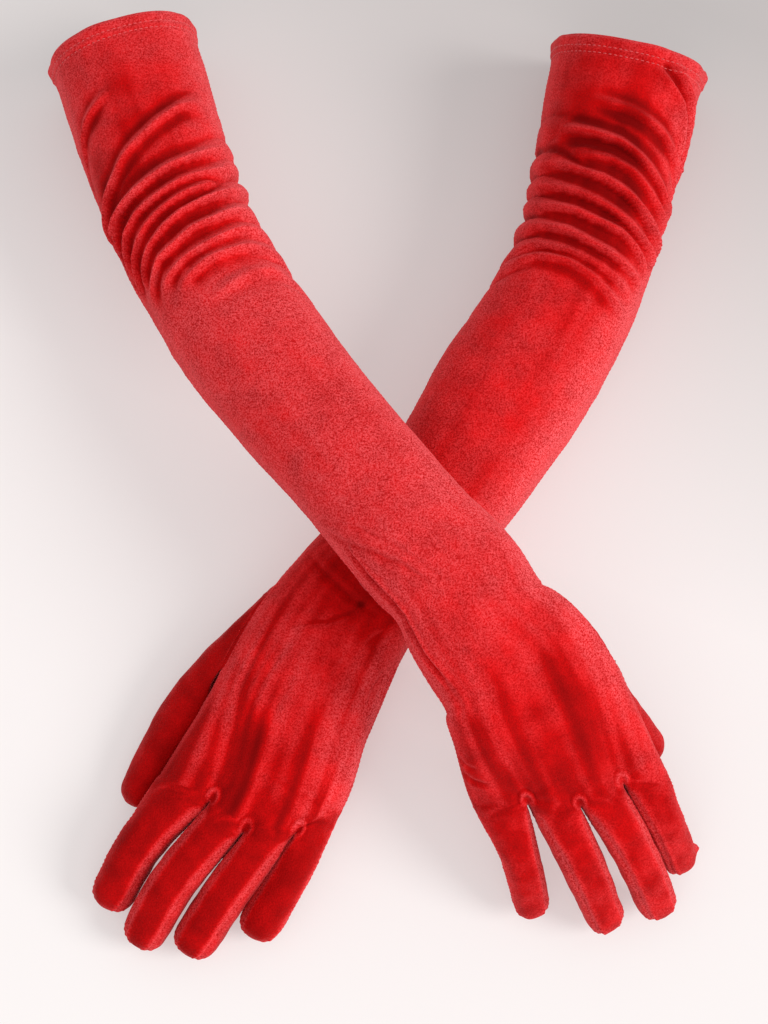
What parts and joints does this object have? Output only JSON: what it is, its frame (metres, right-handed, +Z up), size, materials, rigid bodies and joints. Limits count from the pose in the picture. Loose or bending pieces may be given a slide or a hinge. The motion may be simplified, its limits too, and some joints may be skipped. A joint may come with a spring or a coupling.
{
  "type": "opera gloves",
  "caption": "Over-the-elbow opera gloves in stretch velvet, worn shape and crossed, hollow from cuff to fingertips, with fingers and thumbs that lift at their roots.",
  "frame": {"origin": "middle of the footprint of the two gloves, at floor height", "axes": "+X towards the thumb side of the right glove, fingers towards -Y and cuffs towards +Y, +Z up"},
  "size_m": [0.3315, 0.4646, 0.1154],
  "materials": {
    "velvet": "deep red stretch velvet",
    "fourchette_velvet": "deep red stretch velvet",
    "hem_velvet": "deep red stretch velvet, doubled",
    "seam_allowance": "knit backing",
    "hem_thread": "sewing thread"
  },
  "bodies": {
    "left_glove": {"left_back_panel": "velvet", "left_cuff_hem": "hem_velvet", "left_hem_stitching": "hem_thread", "left_palm_panel": "velvet", "left_side_seam": "seam_allowance"},
    "left_index_finger": {"left_index_back": "velvet", "left_index_fourchette": "fourchette_velvet", "left_index_palm": "velvet"},
    "left_middle_finger": {"left_middle_back": "velvet", "left_middle_fourchette_inner": "fourchette_velvet", "left_middle_fourchette_outer": "fourchette_velvet", "left_middle_palm": "velvet"},
    "left_ring_finger": {"left_ring_back": "velvet", "left_ring_fourchette_inner": "fourchette_velvet", "left_ring_fourchette_outer": "fourchette_velvet", "left_ring_palm": "velvet"},
    "left_little_finger": {"left_little_back": "velvet", "left_little_fourchette": "fourchette_velvet", "left_little_palm": "velvet"},
    "left_thumb": {"left_thumb": "velvet"},
    "right_glove": {"right_back_panel": "velvet", "right_cuff_hem": "hem_velvet", "right_hem_stitching": "hem_thread", "right_palm_panel": "velvet", "right_side_seam": "seam_allowance"},
    "right_index_finger": {"right_index_back": "velvet", "right_index_fourchette": "fourchette_velvet", "right_index_palm": "velvet"},
    "right_middle_finger": {"right_middle_back": "velvet", "right_middle_fourchette_inner": "fourchette_velvet", "right_middle_fourchette_outer": "fourchette_velvet", "right_middle_palm": "velvet"},
    "right_ring_finger": {"right_ring_back": "velvet", "right_ring_fourchette_inner": "fourchette_velvet", "right_ring_fourchette_outer": "fourchette_velvet", "right_ring_palm": "velvet"},
    "right_little_finger": {"right_little_back": "velvet", "right_little_fourchette": "fourchette_velvet", "right_little_palm": "velvet"},
    "right_thumb": {"right_thumb": "velvet"}
  },
  "joints": [
    {"name": "right_glove_lift", "type": "slide", "parent": "left_glove", "child": "right_glove", "axis": [0, 0, 1], "range_m": [0, 0.3]},
    {"name": "left_index_knuckle", "type": "hinge", "parent": "left_glove", "child": "left_index_finger", "pos_m": [-0.09051, -0.15433, 0.03516], "axis": [-0.7749, 0.6321, 0.0045], "range_deg": [0, 40]},
    {"name": "left_middle_knuckle", "type": "hinge", "parent": "left_glove", "child": "left_middle_finger", "pos_m": [-0.07005, -0.16689, 0.03821], "axis": [-0.7826, 0.6226, 0.0046], "range_deg": [0, 40]},
    {"name": "left_ring_knuckle", "type": "hinge", "parent": "left_glove", "child": "left_ring_finger", "pos_m": [-0.04985, -0.17438, 0.03743], "axis": [-0.8126, 0.5828, 0.0033], "range_deg": [0, 40]},
    {"name": "left_little_knuckle", "type": "hinge", "parent": "left_glove", "child": "left_little_finger", "pos_m": [-0.02709, -0.16871, 0.03332], "axis": [-0.8846, 0.4663, 0], "range_deg": [0, 40]},
    {"name": "left_thumb_base", "type": "hinge", "parent": "left_glove", "child": "left_thumb", "pos_m": [-0.04798, -0.05501, 0.03714], "axis": [0.1695, 0.0015, -0.9855], "range_deg": [0, 30]},
    {"name": "right_index_knuckle", "type": "hinge", "parent": "right_glove", "child": "right_index_finger", "pos_m": [0.12509, -0.15403, 0.06521], "axis": [-0.8446, -0.5343, -0.0346], "range_deg": [0, 40]},
    {"name": "right_middle_knuckle", "type": "hinge", "parent": "right_glove", "child": "right_middle_finger", "pos_m": [0.10512, -0.16148, 0.06784], "axis": [-0.8401, -0.541, -0.0395], "range_deg": [0, 40]},
    {"name": "right_ring_knuckle", "type": "hinge", "parent": "right_glove", "child": "right_ring_finger", "pos_m": [0.08302, -0.16602, 0.0668], "axis": [-0.8843, -0.4668, -0.0146], "range_deg": [0, 40]},
    {"name": "right_little_knuckle", "type": "hinge", "parent": "right_glove", "child": "right_little_finger", "pos_m": [0.05951, -0.1661, 0.06266], "axis": [-0.9136, -0.4066, 0.0039], "range_deg": [0, 40]},
    {"name": "right_thumb_base", "type": "hinge", "parent": "right_glove", "child": "right_thumb", "pos_m": [0.07496, -0.06438, 0.09702], "axis": [0.2298, -0.5776, 0.7833], "range_deg": [0, 30]}
  ]
}
